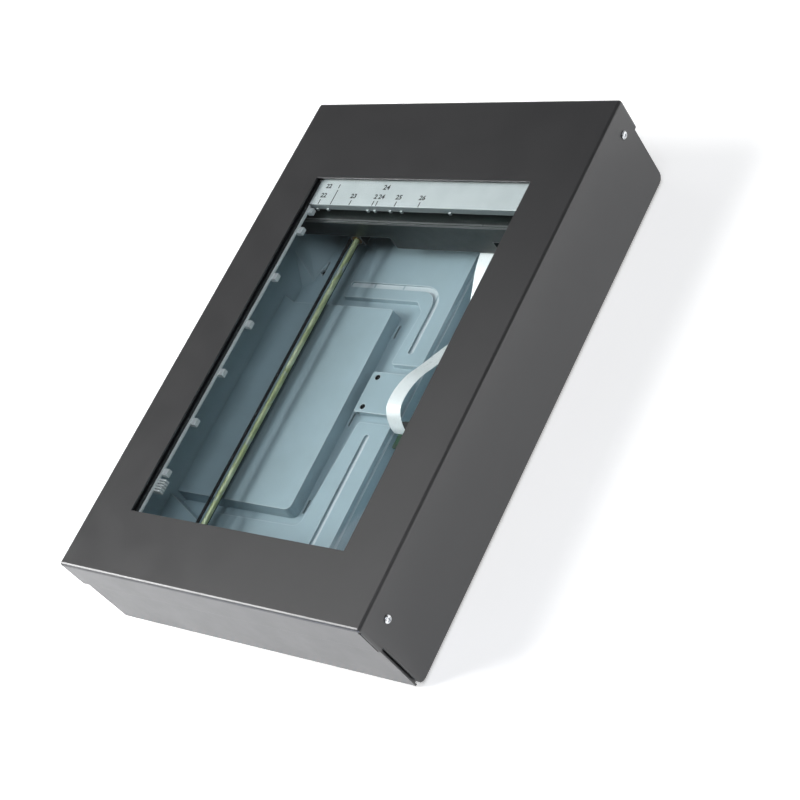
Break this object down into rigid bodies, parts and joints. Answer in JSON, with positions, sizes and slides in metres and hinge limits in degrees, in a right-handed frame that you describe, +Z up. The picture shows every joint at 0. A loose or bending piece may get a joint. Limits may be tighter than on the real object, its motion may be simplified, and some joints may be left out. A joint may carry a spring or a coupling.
{
  "type": "flatbed foot measuring device",
  "caption": "Floor-standing foot scanner: folded dark steel case, glass window with ruler strip, scanning carriage on a guide rod with a belt drive.",
  "frame": {"origin": "on the floor, under the middle of the case", "axes": "+X to the right and +Y to the rear, where the ruler strip is, seen by someone whose toes point to the rear; +Z up"},
  "size_m": [0.405, 0.608, 0.117],
  "materials": {
    "enamel": "satin dark grey powder coat",
    "rubber": "matte",
    "zinc": "zinc plate",
    "foam": "matte foam tape",
    "glass": "clear",
    "black_plastic": "satin",
    "white_plastic": "satin",
    "tray_plastic": "satin, blue-grey",
    "black_steel": "black oxide",
    "rod_steel": "oiled, yellowish",
    "steel": "satin",
    "mirror": "front silvered",
    "board": "green solder mask",
    "bronze": "sintered",
    "acetal": "natural acetal",
    "belt": "matte",
    "film": "white polyester film"
  },
  "bodies": {
    "case": {"top_cover": "enamel", "base_pan": "enamel", "rubber_foot_1": "rubber", "rubber_foot_2": "rubber", "rubber_foot_3": "rubber", "rubber_foot_4": "rubber", "cover_screw_front_right": "zinc", "cover_screw_front_left": "zinc", "cover_screw_rear_right": "zinc", "cover_screw_rear_left": "zinc", "bracket_screw_1": "zinc", "bracket_screw_2": "zinc", "stepper_motor": "zinc", "usb_socket": "zinc", "glass_gasket": "foam", "glass_plate": "glass", "glass_frame": "black_plastic", "rod_holder_front": "black_plastic", "rod_holder_rear": "black_plastic", "idler_holder": "black_plastic", "cable_connector": "black_plastic", "power_socket": "black_plastic", "scanner_bezel": "white_plastic", "ruler_strip": "white_plastic", "scanner_tray": "tray_plastic", "service_plate": "tray_plastic", "plate_screw_1": "black_steel", "plate_screw_2": "black_steel", "guide_rod": "rod_steel", "glide_rail": "steel", "motor_bracket": "steel", "drive_pin": "steel", "idler_pin": "steel", "tension_leaf": "steel", "main_board": "board", "relay_board": "board", "drive_belt": "belt", "flat_cable": "film", "board_lead": "film", "motor_lead": "film"},
    "carriage": {"carriage_housing": "black_plastic", "carriage_lid": "black_plastic", "upper_mirror": "mirror", "rear_mirror": "mirror", "front_mirror": "mirror", "lamp_tube": "glass", "lamp_reflector": "steel", "lamp_holder_left": "white_plastic", "lamp_holder_right": "white_plastic", "lens_barrel": "black_plastic", "sensor_board": "board", "rod_bush_front": "bronze", "rod_bush_rear": "bronze", "slide_shoe": "acetal", "belt_clamp": "black_plastic"},
    "drive_wheel": {"drive_wheel": "acetal"},
    "idler_pulley": {"idler_pulley": "acetal"},
    "motor_rotor": {"motor_shaft": "steel", "motor_pinion": "bronze"}
  },
  "joints": [
    {"name": "carriage_slide", "type": "slide", "parent": "case", "child": "carriage", "axis": [0, -1, 0], "range_m": [0, 0.416], "deforming": ["flat_cable"]},
    {"name": "wheel_spin", "type": "hinge", "parent": "case", "child": "drive_wheel", "pos_m": [-0.1076, 0.252, 0.0553], "axis": [1, 0, 0], "range_deg": [0, 4610]},
    {"name": "idler_spin", "type": "hinge", "parent": "case", "child": "idler_pulley", "pos_m": [-0.1076, -0.252, 0.0553], "axis": [1, 0, 0], "range_deg": [0, 4610]},
    {"name": "motor_spin", "type": "hinge", "parent": "case", "child": "motor_rotor", "pos_m": [-0.1076, 0.2648, 0.0649], "axis": [1, 0, 0], "range_deg": [-13820, 0]}
  ],
  "couplings": [
    {"joint": "wheel_spin", "follows": "carriage_slide", "rad_per_m": 193.26},
    {"joint": "idler_spin", "follows": "carriage_slide", "rad_per_m": 193.26},
    {"joint": "motor_spin", "follows": "carriage_slide", "rad_per_m": -579.77}
  ]
}
